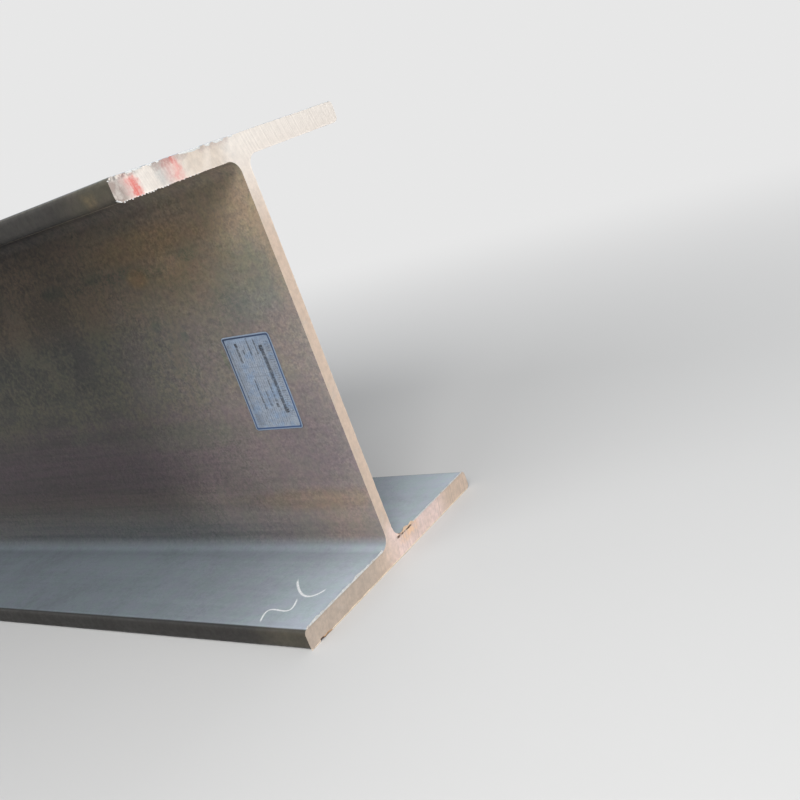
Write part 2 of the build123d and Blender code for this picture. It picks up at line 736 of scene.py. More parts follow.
@dataclass(frozen=True)
class SawnFinish:
    """The sawn end faces: arcs of saw marks, flash rust low down, whitish dust high up, dabs of red paint."""

    bare: Colour = tint(247, 239, 231)
    rust: Colour = tint(219, 197, 179)
    brown: Colour = tint(193, 177, 163)
    pink: Colour = tint(245, 221, 214)
    beige: Colour = tint(227, 213, 199)
    smudge: Colour = tint(198, 198, 196)
    tip_grey: Colour = tint(170, 155, 148)
    crust_grey: Colour = tint(138, 132, 129)
    dull: Colour = tint(186, 170, 164)
    # painted shade under the sliver of burr
    crease_shade: Colour = tint(88, 62, 48)
    peach: Colour = tint(248, 208, 170)
    paint: Colour = tint(228, 92, 84)
    paints: tuple[Smear, ...] = (
        Smear((-0.1278, 0.4372), (-0.1262, 0.4272), 0.0042, 0.88),
        Smear((-0.1328, 0.4392), (-0.1262, 0.437), 0.0024, 0.6),
        Smear((-0.1335, 0.439), (-0.1315, 0.429), 0.005, 0.3),
        Smear((-0.0797, 0.4428), (-0.0752, 0.4345), 0.003, 0.62),
        Smear((-0.0752, 0.4345), (-0.0815, 0.4285), 0.003, 0.55),
        Smear((-0.0855, 0.4405), (-0.0845, 0.431), 0.0065, 0.3),
        Smear((-0.0785, 0.437), (-0.0775, 0.4275), 0.005, 0.42),
    )
    grime: tuple[Smear, ...] = (
        Smear((-0.0975, 0.442), (-0.0965, 0.431), 0.0048, 0.7),
        Smear((-0.0925, 0.444), (-0.0905, 0.429), 0.005, 0.55),
        Smear((-0.142, 0.441), (-0.14, 0.432), 0.008, 0.4),
    )
    # a grey band along the top edge, partly grime and partly painted shadow
    edge_grime_and_shadow: tuple[Smear, ...] = (
        Smear((-0.099, 0.4445), (-0.082, 0.4445), 0.0042, 0.95),
        Smear((-0.08, 0.445), (-0.064, 0.4445), 0.0036, 0.7),
        Smear((-0.044, 0.445), (-0.012, 0.445), 0.0034, 0.6),
    )

    def build(self) -> bpy.types.Material:
        """Build the material, layer over layer.

        Returns:
            The material for the sawn faces.
        """
        coat = SawnCoat()
        self._rusted(coat)
        self._dirtied(coat)
        self._creased(coat)
        marks = coat.marks()
        depth = self._mark_depth(coat)
        uneven = (coat.mottle.fade(0.3, 0.7) - 0.54) * coat.rough * 0.13
        fine = (coat.place.noise(520.0, 2.0, 0.7) - 0.5) * 0.14
        coat.shade(uneven + fine + 1.0)
        coat.shade(coat.far_high.most(coat.low) * 0.05 + 1.0 - (1.0 - marks) * depth * 0.14)
        labelled_end = coat.x.fade(0.0, 1.0)
        coat.lay(coat.smeared(self.paints) * labelled_end * marks.fade(1.0, 0.1, 0.84, 1.0), self.paint)
        normal = coat.mottle.relief(0.16 * MM, 0.45, (marks * depth).relief(0.18 * MM, 0.5))
        return coat.close(coat.mottle.fade(0.3, 0.7, 0.58, 0.72), normal)

    def _rusted(self, coat: SawnCoat) -> None:
        """Lay the bare cut with its flash rust, browner and pinker low down, beige in the top flange.

        Args:
            coat: the coat so far.
        """
        y, z, patch = coat.y, coat.z, coat.patch
        coat.ground(z.fade(0.34, 0.448), self.rust, self.bare)
        coat.lay(coat.low * y.fade(-0.008, -0.05), self.brown)
        coat.lay(coat.low * y.hill(0.045, 0.03, 0.04) * patch.fade(0.34, 0.54, 0.6, 1.0), self.pink)
        coat.lay(patch.fade(0.55, 0.7) * coat.rough * 0.25, self.smudge)
        coat.lay(y.hill(-0.045, 0.012, 0.025) * coat.high * patch.fade(0.3, 0.6, 0.55, 1.0), self.beige)
        coat.lay(y.hill(-0.1165, 0.004, 0.008) * coat.high * 0.5, self.bare)

    def _dirtied(self, coat: SawnCoat) -> None:
        """Lay the grime, a grey band along the top edge that is partly grime and partly painted shadow, the
        grey tip and the flaked crust over it.

        Args:
            coat: the coat so far.
        """
        coat.lay(coat.smeared(self.grime), self.smudge)
        # Partly grime, partly painted shadow along the top edge.
        coat.lay(coat.smeared(self.edge_grime_and_shadow), self.dull)
        tip = coat.y.fade(-0.131, -0.143) * coat.high
        coat.lay(tip * coat.mottle.fade(0.34, 0.6, 0.35, 1.0), self.tip_grey)
        crust = coat.z.fade(0.4408, 0.4434) * coat.y.fade(-0.112, -0.132)
        flaked = coat.place.noise(340.0, 2.0, 0.6).fade(0.42, 0.6)
        coat.lay(crust * 0.75, coat.mix(flaked, self.crust_grey, self.bare))

    def _creased(self, coat: SawnCoat) -> None:
        """Lay the peach stain, and the dark line of painted shade under the sliver of burr.

        Args:
            coat: the coat so far.
        """
        stain = coat.z.between((0.006, 0.016), (0.022, 0.028)) * coat.y.hill(0.029, 0.009, 0.014)
        coat.lay(stain * coat.mottle.fade(0.36, 0.6, 0.2, 0.85), self.peach)
        # Painted shade: a thin broken dark line just under the sliver of burr.
        wander = (coat.place.noise(240.0, 2.0, 0.6) - 0.5) * 0.0022
        crease_shade = (coat.z + wander).hill(0.0203, 0.0009, 0.0007) * coat.y.hill(0.0225, 0.0115, 0.004)
        coat.lay(crease_shade * coat.mottle.fade(0.4, 0.5, 0.3, 1.0), self.crease_shade)

    def _mark_depth(self, coat: SawnCoat) -> Reading:
        """Work out how deep the saw marks are, deepest in the top flange and low on the far half.

        Args:
            coat: the coat.

        Returns:
            The depth, about 0 to 1.5.
        """
        near_tip = coat.z.fade(0.35, 0.425, 0.25, 0.9) * coat.y.hill(-0.115, 0.015, 0.04)
        in_patches = coat.patch.fade(0.4, 0.6, 0.2, 0.6)
        low_down = coat.low * coat.y.fade(0.0, 0.03, 0.7, 1.5)
        return near_tip.most(in_patches).most(coat.far_high * 1.2).most(low_down)


@dataclass(frozen=True)
class BurrFinish:
    """The torn lips along the saw cut, bright on the crests and rusty in patches."""

    name: str
    crest: Colour
    low_crest: Colour
    rusty: Colour
    rusty_range: Pair

    def build(self) -> bpy.types.Material:
        """Build the material.

        Returns:
            The material for the burr.
        """
        coat = Coat(self.name)
        grain = coat.place.noise(420.0, 3.0, 0.65)
        coat.ground(coat.z.fade(0.014, 0.006), self.crest, self.low_crest)
        coat.lay(coat.place.noise(110.0, 3.0, 0.6).fade(*self.rusty_range), self.rusty)
        coat.shade(grain.fade(0.3, 0.65, 0.78, 1.05))
        return coat.close(grain.fade(0.3, 0.7, 0.45, 0.65), grain.relief(0.3 * MM, 0.7))


BRIGHT_BURR = BurrFinish(
    "bright_burr", tint(228, 229, 228), tint(255, 236, 214), tint(206, 190, 172), (0.58, 0.74)
)
TORN_BURR = BurrFinish("torn_burr", tint(240, 208, 178), tint(214, 168, 120), tint(84, 58, 42), (0.5, 0.58))


@dataclass(frozen=True)
class PrintRow:
    """A row of plain dashes that runs down the label, in millimetres from its left and top edges."""

    across: float
    width: float
    start: float
    end: float
    ink: float


class PrintCoat(Coat):
    """The coat of the label, with places in millimetres from its left and top edges."""

    CORNER_ROUNDING = 3.0

    def __init__(self, width: float, height: float) -> None:
        """Start the material.

        Args:
            width: the label's width.
            height: the label's height.
        """
        super().__init__("label_print", StockLabel.PRINT_MAP)
        wide, high = width / MM, height / MM
        self.p = self.x * wide
        self.q = (1.0 - self.y) * high
        self.sheet = self.read("ShaderNodeCombineXYZ", {0: self.p, 1: self.q, 2: 0.0})
        from_side, from_end = self.p.least(wide - self.p), self.q.least(high - self.q)
        self.from_edge = from_side.maths("SMOOTH_MIN", from_side, from_end, self.CORNER_ROUNDING)


@dataclass(frozen=True)
class LabelFinish:
    """A pale printed paper, its tints darkened with painted shade: a border, ruled lines and rows of dashes,
    with no lettering.
    """

    width: float
    height: float
    # the paper's tints, darkened with painted shade
    paper: Colour = tint(147, 157, 171)
    paper_blue: Colour = tint(132, 154, 182)
    rim: Colour = tint(130, 144, 163)
    border: Colour = tint(44, 66, 100)
    ink: Colour = tint(48, 52, 60)
    faint: Colour = tint(84, 92, 106)
    border_inset: float = 2.2
    border_width: float = 1.7
    paper_ior: float = 1.45
    slant: float = 0.035
    rows: tuple[PrintRow, ...] = (
        PrintRow(18.4, 2.8, 8.0, 29.5, 0.75),
        PrintRow(18.4, 3.8, 8.0, 12.0, 0.95),
        PrintRow(26.1, 2.4, 15.5, 20.5, 0.7),
        PrintRow(35.3, 2.4, 3.5, 22.5, 0.65),
        PrintRow(44.7, 2.0, 4.5, 22.0, 0.65),
        PrintRow(51.8, 4.4, 12.5, 86.5, 0.8),
        PrintRow(51.4, 5.6, 13.0, 19.0, 1.0),
        PrintRow(52.2, 5.6, 81.5, 87.0, 1.0),
        PrintRow(25.0, 2.0, 48.0, 81.5, 0.7),
        PrintRow(43.0, 2.2, 47.5, 74.0, 0.55),
        PrintRow(34.0, 2.2, 62.0, 79.0, 0.55),
        PrintRow(42.5, 3.6, 75.5, 80.5, 0.8),
        PrintRow(6.5, 1.8, 9.0, 82.0, 0.4),
    )

    def build(self) -> bpy.types.Material:
        """Build the material.

        Returns:
            The material for the label.
        """
        coat = PrintCoat(self.width, self.height)
        p, q, sheet = coat.p, coat.q, coat.sheet
        fibre = sheet.noise(0.7, 3.0, 0.6)
        smear = sheet.noise(0.07, 4.0, 0.65)
        blotch = sheet.noise(0.16, 4.0, 0.7)
        blue = smear.fade(0.45, 0.62, 0.0, 0.75).most(q.fade(14.0, 3.0, 0.0, 0.6))
        coat.ground(blue, self.paper, self.paper_blue)
        # Darker along the left side, and a painted shadow over the upper right part.
        cast_shadow = p.fade(42.0, 56.0) * q.fade(62.0, 40.0) * 0.12
        coat.shade(blotch.fade(0.35, 0.65, -0.1, 0.08) + p.fade(6.0, 20.0, 0.8, 0.94) * (1.0 - cast_shadow))
        coat.lay(self._faint(coat), self.faint)
        coat.lay(self._dashes(coat), self.ink)
        coat.lay(coat.from_edge.fade(self.border_inset, self.border_inset - 0.5), self.rim)
        border = (p + q).fade(20.0, 130.0, 0.55, 1.4).grey().times(self.border[:3])
        coat.lay(coat.from_edge.line(self.border_inset, self.border_width), border)
        coat.shade(fibre.fade(0.3, 0.7, 0.86, 1.1))
        return coat.close(smear.fade(0.4, 0.6, 0.42, 0.55), fibre.relief(0.08 * MM, 0.5), self.paper_ior)

    def _dashes(self, coat: PrintCoat) -> Reading:
        """Print the rows of plain dashes.

        Args:
            coat: the coat so far.

        Returns:
            How much ink there is.
        """
        level = coat.p - (coat.q - self.height / MM / 2) * self.slant
        laid = []
        for row in self.rows:
            laid.append(level.line(row.across, row.width) * coat.q.span(row.start, row.end) * row.ink)
        broken = coat.sheet.times((0.45, 1.0, 1.0)).noise(0.5, 3.0, 0.75).fade(0.4, 0.5, 0.3, 1.0)
        return reduce(Reading.most, laid) * broken

    def _faint(self, coat: PrintCoat) -> Reading:
        """Print the faint cross rules, the hatched strip, the fine rows and a plain block.

        Args:
            coat: the coat so far.

        Returns:
            How much ink there is.
        """
        p, q, sheet = coat.p, coat.q, coat.sheet
        rules = q.line(35.0, 1.2).most(q.line(45.0, 1.2)) * p.span(8.0, 46.0) * 0.35
        ragged = (sheet.times((1.0, 0.7, 1.0)).noise(0.42, 4.0, 0.78) - 0.5) * 5.0
        bent = q + sheet.noise(0.25, 2.0, 0.6) * 5.0
        bars = (bent * 2.6).sine() * 0.6 + ragged
        hatch = bars.fade(-0.5, 0.9) * p.span(56.0, 62.5) * q.span(9.0, 92.0) * 0.68
        lines = (p * 2.1).sine() * 0.5 + ragged
        fine = lines.fade(-0.1, 0.9) * p.span(4.5, 54.5) * q.span(6.0, 100.0) * 0.62
        block = p.span(6.0, 17.0) * q.span(86.0, 99.0) * 0.35
        return rules.most(hatch).most(fine.most(block))


@dataclass(frozen=True)
class FloorFinish:
    """A plain pale floor that runs out into the pale background."""

    floor: Colour = tint(214, 214, 214)
    distance_pale: Colour = (0.8, 0.8, 0.8, 1.0)
    fade_from: float = 0.4
    fade_to: float = 1.7
    beam_end: float = 3.0

    def build(self) -> bpy.types.Material:
        """Build the material.

        Returns:
            The material for the floor.
        """
        coat = Coat("pale_floor")
        past_end = (abs(coat.x) - self.beam_end).most(0.0)
        far = (past_end * past_end + coat.y * coat.y).root()
        surface = coat.read("ShaderNodeBsdfDiffuse", {"Color": self.floor})
        glow = coat.read("ShaderNodeEmission", {"Color": self.distance_pale, "Strength": 1.0})
        share = far.fade(self.fade_from, self.fade_to) * coat.seen_directly()
        mixed = coat.read("ShaderNodeMixShader", {0: share, 1: surface, 2: glow})
        coat.node("ShaderNodeOutputMaterial", {"Surface": mixed})
        return coat.material


class Run(Enum):
    """The kinds of stretch met on a walk round the section."""

    OUTER = "top or bottom face"
    TOE = "flange toe"
    INNER = "inner face of a flange"
    ROOT = "root fillet"
    WEB = "web face"


@dataclass
class Perimeter:
    """The section's outline as a closed walk, about a millimetre a step.

    A step's place moved along its outward direction gives any surface that lies parallel to the outline.
    """

    ARC_PANELS = {Run.TOE: 4, Run.ROOT: 6}
    LONG_RUN = 12
    RUN_EDGE = 2

    step: float = 1 * MM
    panel: float = 14 * MM
    places: np.ndarray = field(default_factory=lambda: np.zeros((0, 2)))
    outward: np.ndarray = field(default_factory=lambda: np.zeros((0, 2)))
    kinds: list[Run] = field(default_factory=list)
    coarse: list[int] = field(default_factory=list)

    def ring(self, x: np.ndarray | float, out: np.ndarray | float, sparse: bool = False) -> np.ndarray:
        """Set out one ring of points.

        Args:
            x: the ring's place along the beam, one for all steps or one a step.
            out: how far it stands out from the outline.
            sparse: whether only the coarse steps are wanted.

        Returns:
            The points, one a row.
        """
        count = len(self.places)
        shift = np.broadcast_to(out, count)[:, None]
        points = np.column_stack((np.broadcast_to(x, count), self.places + self.outward * shift))
        return points[self.coarse] if sparse else points

    def is_kind(self, kind: Run) -> np.ndarray:
        """Mark the steps of one kind."""
        return np.array([met is kind for met in self.kinds])

    def _add(self, kind: Run, places: np.ndarray, outward: np.ndarray, coarse: list[int]) -> None:
        """Add steps.

        Args:
            kind: the kind of stretch.
            places: the steps' places.
            outward: their outward directions.
            coarse: which of them are coarse steps, counted from the first.
        """
        self.coarse += [len(self.places) + index for index in coarse]
        self.places = np.vstack((self.places, places))
        self.outward = np.vstack((self.outward, outward))
        self.kinds += [kind] * len(places)

    def straight(self, kind: Run, start: Pair, end: Pair) -> None:
        """Walk a straight stretch.

        Args:
            kind: the kind of stretch.
            start: where it starts.
            end: where it ends. The end is left to the next stretch.
        """
        first, last = np.array(start), np.array(end)
        length = float(np.linalg.norm(last - first))
        steps = max(1, round(length / self.step))
        share = np.arange(steps)[:, None] / steps
        along = (last - first) / length
        outward = np.tile((along[1], -along[0]), (steps, 1))
        panels = max(1, round(length / self.panel))
        marks = {0} | {round(steps * index / panels) for index in range(1, panels)}
        if steps > self.LONG_RUN:
            marks |= {self.RUN_EDGE, steps - self.RUN_EDGE}
        self._add(kind, first + (last - first) * share, outward, sorted(marks))

    def arc(self, kind: Run, centre: Pair, radius: float, start: float, end: float) -> None:
        """Walk a rounded corner. One that is walked clockwise is hollow.

        Args:
            kind: the kind of stretch.
            centre: the arc's centre.
            radius: its radius.
            start: the angle where it starts.
            end: the angle where it ends. The end is left to the next stretch.
        """
        panels = self.ARC_PANELS[kind]
        each = max(2, round(abs(end - start) * radius / self.step / panels))
        steps = panels * each
        angles = start + (end - start) * np.arange(steps) / steps
        spokes = np.column_stack((np.cos(angles), np.sin(angles)))
        outward = spokes if end > start else -spokes
        self._add(kind, np.array(centre) + spokes * radius, outward, list(range(0, steps, each)))

    def turn_about(self, middle: Pair) -> None:
        """Close a walk that is half done by turning that half about the section's middle.

        Args:
            middle: the section's middle.
        """
        count = len(self.places)
        self.coarse += [count + index for index in self.coarse]
        self.places = np.vstack((self.places, 2 * np.array(middle) - self.places))
        self.outward = np.vstack((self.outward, -self.outward))
        self.kinds += self.kinds


@dataclass
class Section:
    """The rolled I section."""

    depth: float = 446 * MM
    width: float = 302 * MM
    flange: float = 21 * MM
    web: float = 13 * MM
    root_radius: float = 13 * MM
    toe_radius: float = 5 * MM

    def perimeter(self) -> Perimeter:
        """Walk round the section, anticlockwise seen from the labelled end.

        Returns:
            The walk.
        """
        walk = Perimeter()
        half, toe = self.width / 2, self.toe_radius
        web, root = self.web / 2, self.root_radius
        floor, ceiling = self.flange, self.depth - self.flange
        quarter = math.pi / 2
        walk.straight(Run.OUTER, (toe - half, 0.0), (half - toe, 0.0))
        walk.arc(Run.TOE, (half - toe, toe), toe, -quarter, 0.0)
        walk.straight(Run.TOE, (half, toe), (half, floor - toe))
        walk.arc(Run.TOE, (half - toe, floor - toe), toe, 0.0, quarter)
        walk.straight(Run.INNER, (half - toe, floor), (web + root, floor))
        walk.arc(Run.ROOT, (web + root, floor + root), root, -quarter, -2 * quarter)
        walk.straight(Run.WEB, (web, floor + root), (web, ceiling - root))
        walk.arc(Run.ROOT, (web + root, ceiling - root), root, 2 * quarter, quarter)
        walk.straight(Run.INNER, (web + root, ceiling), (half - toe, ceiling))
        walk.arc(Run.TOE, (half - toe, ceiling + toe), toe, -quarter, 0.0)
        walk.straight(Run.TOE, (half, ceiling + toe), (half, self.depth - toe))
        walk.arc(Run.TOE, (half - toe, self.depth - toe), toe, 0.0, quarter)
        walk.turn_about((0.0, self.depth / 2))
        return walk


class Part(Enum):
    """The finishes of the beam, by their place in its list of materials."""

    ROLLED = 0
    SAWN = 1
    BURR = 2
    TORN = 3


@dataclass
class SawnEnd:
    """One sawn end: the cut face and the burr along its edge."""

    BURR_STRIPS = range(2, 5)

    section: Section
    perimeter: Perimeter
    end_x: float
    forward: float
    seed: int
    inner_lip: float
    sliver: Pair | None = None
    tear: Pair | None = None
    spur: float = 0.0
    face_back: float = 1.5 * MM
    face_edge: float = 3.2 * MM
    foot_limit: float = 2.8 * MM
    bright_from: float = 0.7 * MM

    def _ragged(self, reach: int) -> np.ndarray:
        """Make noise along the closed edge, smooth over some steps.

        Args:
            reach: over how many steps it is smoothed.

        Returns:
            The noise, 0 to 1.
        """
        raw = self.draws.rand(len(self.perimeter.places))
        window = np.hanning(reach + 2)[1:-1]
        spread = np.concatenate((raw[-reach:], raw, raw[:reach]))
        smooth = np.convolve(spread, window / window.sum(), mode="same")[reach:-reach]
        return (smooth - smooth.min()) / (smooth.max() - smooth.min())

    def _teeth(self) -> np.ndarray:
        """Make a row of small uneven teeth, three to five steps each.

        Returns:
            The teeth's height, 0 to 1.
        """
        height = np.zeros(len(self.perimeter.places))
        place = 0
        while place < len(height):
            pitch = 3 + int(2.6 * self.draws.rand() ** 2)
            height[place:place + 2] = 0.2 + 0.8 * self.draws.rand() ** 0.8
            place += pitch
        return height

    def _peel(self, span: Pair, soft: float, where: np.ndarray) -> np.ndarray:
        """Fade a torn stretch in and out across the beam.

        Args:
            span: where it starts and ends.
            soft: how far it takes to come in.
            where: the steps that it may take.

        Returns:
            Its level, 0 to 1.
        """
        y = self.perimeter.places[:, 0]
        return np.clip(np.minimum(y - span[0], span[1] - y) / soft, 0, 1) * where

    def _edge(self) -> None:
        """Work out the burr along the edge: how far it stands out and forward, and what it is made of."""
        walk, section = self.perimeter, self.section
        self.draws = np.random.RandomState(self.seed)
        ragged, rough = self._ragged(9), self._ragged(4)
        teeth, slow = self._teeth(), self._ragged(60)
        y, z = walk.places.T
        outer, toe, inner, root, web = (walk.is_kind(kind) for kind in Run)
        low = z < section.depth / 2
        top_outer, low_outer = outer & ~low, outer & low
        near = y < 0
        half_width = section.width / 2
        wavy = np.clip(0.5 + 1.9 * (ragged - 0.5), 0, 1)
        fringe = 0.7 + self.inner_lip * (0.3 + 0.6 * wavy) * (0.6 + 0.4 * slow) + 0.25 * teeth
        lip = inner * low * fringe * np.where(near, 1.0, 0.55)
        toothed = np.interp(y, (-half_width, -0.085, -0.06, 0.0, half_width), (0.92, 0.92, 0.4, 0.3, 0.5))
        lip += inner * ~low * (0.1 + 1.7 * teeth * toothed * (0.45 + 0.55 * slow) + 0.3 * ragged)
        lip += root * (0.1 + 0.25 * rough) + web * (0.05 + 0.3 * rough * slow)
        nibble = low_outer * (0.1 + 0.4 * rough * slow) + toe * (0.05 + 0.2 * rough)
        nibble += top_outer * (0.1 + (0.5 + 0.6 * near) * ragged + 0.8 * teeth * slow)
        jut = low_outer * (0.15 + 0.4 * slow + 0.25 * rough) + top_outer * 0.5 * teeth * slow
        crest = low_outer * (0.36 + 0.7 * np.clip(2.0 * ragged - 0.5, 0, 1) * (0.4 + 0.6 * slow))
        crest += top_outer * 0.4 * np.clip(1.6 * rough - 0.5, 0, 1)
        crest += top_outer * near * 1.3 * np.clip(2.4 * ragged - 1.0, 0, 1)
        under_toe = z < section.depth - section.flange + 0.6 * section.toe_radius
        over_toe = np.where(z > section.depth - 3 * MM, ragged, 0.0)
        crest += toe * ~low * near * np.where(under_toe, 0.36, over_toe)
        self.torn = np.zeros(len(y), bool)
        if self.spur:
            sideways, down = np.abs(walk.outward[:, 0]), -walk.outward[:, 1]
            corner = toe & near & (z < section.toe_radius) & (down > 0.02)
            to_side = (half_width - np.abs(y)) / np.maximum(sideways, 0.02)
            to_floor = z / np.maximum(down, 0.02)
            lip += corner * self.spur * np.minimum(to_side, to_floor) / MM
            nibble *= ~corner
        if self.sliver:
            peel = self._peel(self.sliver, 6 * MM, low & (inner | root))
            lip += peel * (0.8 + 2.6 * ragged)
            self.torn |= peel > 0.1
        if self.tear:
            peel = self._peel(self.tear, 3 * MM, low_outer)
            nibble += peel * (0.6 + 1.8 * ragged)
            self.torn |= peel > 0.3
        self.rough = rough
        self.jut = np.minimum(jut * MM, self.face_back)
        self.lip = lip * MM
        self.tip = (lip - nibble) * MM
        self.crest = (0.4 + crest) * MM
        self.bright = (self.lip > self.bright_from) | (crest > 0.35)

    def rings(self) -> list[np.ndarray]:
        """Set out the rings from the body's last ring to the edge of the cut face.

        Returns:
            The rings, the first one next to the body.
        """
        self._edge()
        tip, lip, crest = self.tip, self.lip, self.crest
        face = self.end_x - self.forward * self.face_back
        lean = np.minimum(0.4 * lip + 0.3 * MM * self.rough, self.face_back)
        reach = np.where(lip > 0, lean, self.jut)
        crest_foot = np.maximum(tip - 0.1 * MM - crest, -self.foot_limit)
        foot = np.where(lip > self.bright_from, 0.08 * lip, crest_foot)
        heel = np.minimum(np.minimum(0.25 * tip, 0.0) - 0.3 * MM - crest, foot - 0.05 * MM)
        backs = (
            (9.0 * MM, 0.0),
            (3.2 * MM, 0.0),
            (1.4 * MM - 0.6 * MM * self.rough, 0.32 * tip),
            (-0.75 * reach, 0.85 * tip),
            (-reach, tip - 0.12 * MM),
            (-0.8 * reach, foot),
            (0.0, heel),
            (0.0, -self.face_edge),
        )
        return [self.perimeter.ring(face - self.forward * back, out) for back, out in backs]

    def finish_of(self, strip: int, step: int) -> Part:
        """Say what finish one face of the end takes.

        Args:
            strip: which strip it is in, 0 next to the body.
            step: which step of the walk it starts at.

        Returns:
            The finish.
        """
        burr = self.BURR_STRIPS
        if strip in burr and self.torn[step]:
            return Part.TORN
        if strip in burr and self.bright[step]:
            return Part.BURR
        return Part.ROLLED if strip <= burr.start else Part.SAWN


@dataclass
class FlatMap:
    """The beam laid out flat on one square, for the export: the ends get more room than the middle.

    The rolled walls fill the left part, with the length across and the walk round the section up. The
    sawn faces stand in columns on the right, each cut into its two flanges and its web.
    """

    NAME = "OFBake"
    WEIGHTS = {Run.OUTER: 0.5, Run.TOE: 1.4}

    section: Section
    perimeter: Perimeter
    start_x: float
    end_x: float
    margin: float = 0.004
    strip: float = 0.003
    strips: int = 6
    wall_width: float = 0.866
    middle_room: float = 95.0
    labelled_room: float = 900.0
    labelled_reach: float = 0.24
    plain_room: float = 420.0
    plain_reach: float = 0.15
    labelled_columns: Pair = (0.872, 0.931)
    plain_column: float = 0.958
    labelled_scale: float = 1.56
    cap_gap: float = 0.008

    def __post_init__(self) -> None:
        """Share the square's height out along the walk round the section."""
        places = self.perimeter.places
        lengths = np.linalg.norm(np.roll(places, -1, axis=0) - places, axis=1)
        rises = np.cumsum(lengths * [self.WEIGHTS.get(kind, 1.0) for kind in self.perimeter.kinds])
        self.heights = self.margin + (1 - 2 * self.margin) * np.concatenate(([0.0], rises)) / rises[-1]

    def _measure(self, x: float) -> float:
        """Add up the room from the plain end to a place along the beam.

        Args:
            x: the place.

        Returns:
            The room.
        """
        crowd = self.labelled_room * self.labelled_reach * math.exp((x - self.end_x) / self.labelled_reach)
        thin = self.plain_room * self.plain_reach * math.exp((self.start_x - x) / self.plain_reach)
        return self.middle_room * (x - self.start_x) + crowd - thin

    def along(self, x: float) -> float:
        """Give the place across the square of a place along the beam.

        Args:
            x: the place along the beam.

        Returns:
            The place across the square.
        """
        low, high = self._measure(self.start_x), self._measure(self.end_x)
        first = self.margin + self.strips * self.strip
        last = self.wall_width - self.strips * self.strip
        return first + (last - first) * (self._measure(x) - low) / (high - low)

    def end_strip(self, forward: bool, index: int, x: float) -> float:
        """Give the place across the square of one ring of a sawn end.

        Args:
            forward: whether it is the labelled end.
            index: which ring it is, 0 next to the body.
            x: the ring's place along the beam.

        Returns:
            The place across the square.
        """
        beyond = index + 1 - SawnEnd.BURR_STRIPS.start
        if beyond <= 0:
            return self.along(x)
        if forward:
            return self.along(self.end_x) + beyond * self.strip
        return self.along(self.start_x) - beyond * self.strip

    def ring(self, across: float, sparse: bool = False) -> np.ndarray:
        """Set out one ring's places at one place across the square, the first step's again at the top."""
        heights = self.heights[[*self.perimeter.coarse, -1]] if sparse else self.heights
        return np.column_stack((np.full(len(heights), across), heights))

    def caps(self, forward: bool) -> list[tuple[np.ndarray, np.ndarray]]:
        """Cut a sawn face into its bottom flange, its top flange and its web.

        Args:
            forward: whether it is the labelled end.

        Returns:
            For each piece the steps of its outline, and their places on the square.
        """
        walk = self.perimeter
        half = len(walk.places) // 2
        web = np.flatnonzero(walk.is_kind(Run.WEB)[:half])
        foot, head = web[0], web[-1] + 1
        bottom = np.concatenate((np.arange(half + head, 2 * half), np.arange(foot + 1)))
        middle = np.concatenate((np.arange(foot, head + 1), np.arange(half + foot, half + head + 1)))
        top = np.arange(head, half + foot + 1)
        scale = self.labelled_scale if forward else self.labelled_scale / 2
        flanges, web_column = self.labelled_columns if forward else (self.plain_column, self.plain_column)
        tall = scale * self.section.width + self.cap_gap
        web_foot = self.margin + (0.0 if forward else 2 * tall)
        return [
            (bottom, self._cap(bottom, (flanges, self.margin), scale, upright=False)),
            (top, self._cap(top, (flanges, self.margin + tall), scale, upright=False)),
            (middle, self._cap(middle, (web_column, web_foot), scale, upright=True)),
        ]

    def _cap(self, steps: np.ndarray, corner: Pair, scale: float, upright: bool) -> np.ndarray:
        """Place one piece of a sawn face on the square, with its long side up.

        Args:
            steps: the steps of its outline.
            corner: its lowest corner on the square.
            scale: its size there, a metre.
            upright: whether it stands as it does in the beam. If not, it is turned on its side.

        Returns:
            The steps' places.
        """
        from_corner = self.perimeter.places[steps] - self.perimeter.places[steps].min(axis=0)
        return np.array(corner) + scale * (from_corner if upright else from_corner[:, ::-1])


@dataclass
class Ring:
    """One ring of a mesh: its points' numbers, and their places on the flat map, the first one's twice."""

    numbers: np.ndarray
    spots: np.ndarray

    def corner(self, step: int) -> Corner:
        """Give a corner for a face: the point's number at one step, and its place on the flat map."""
        return self.numbers[step % len(self.numbers)], self.spots[step]


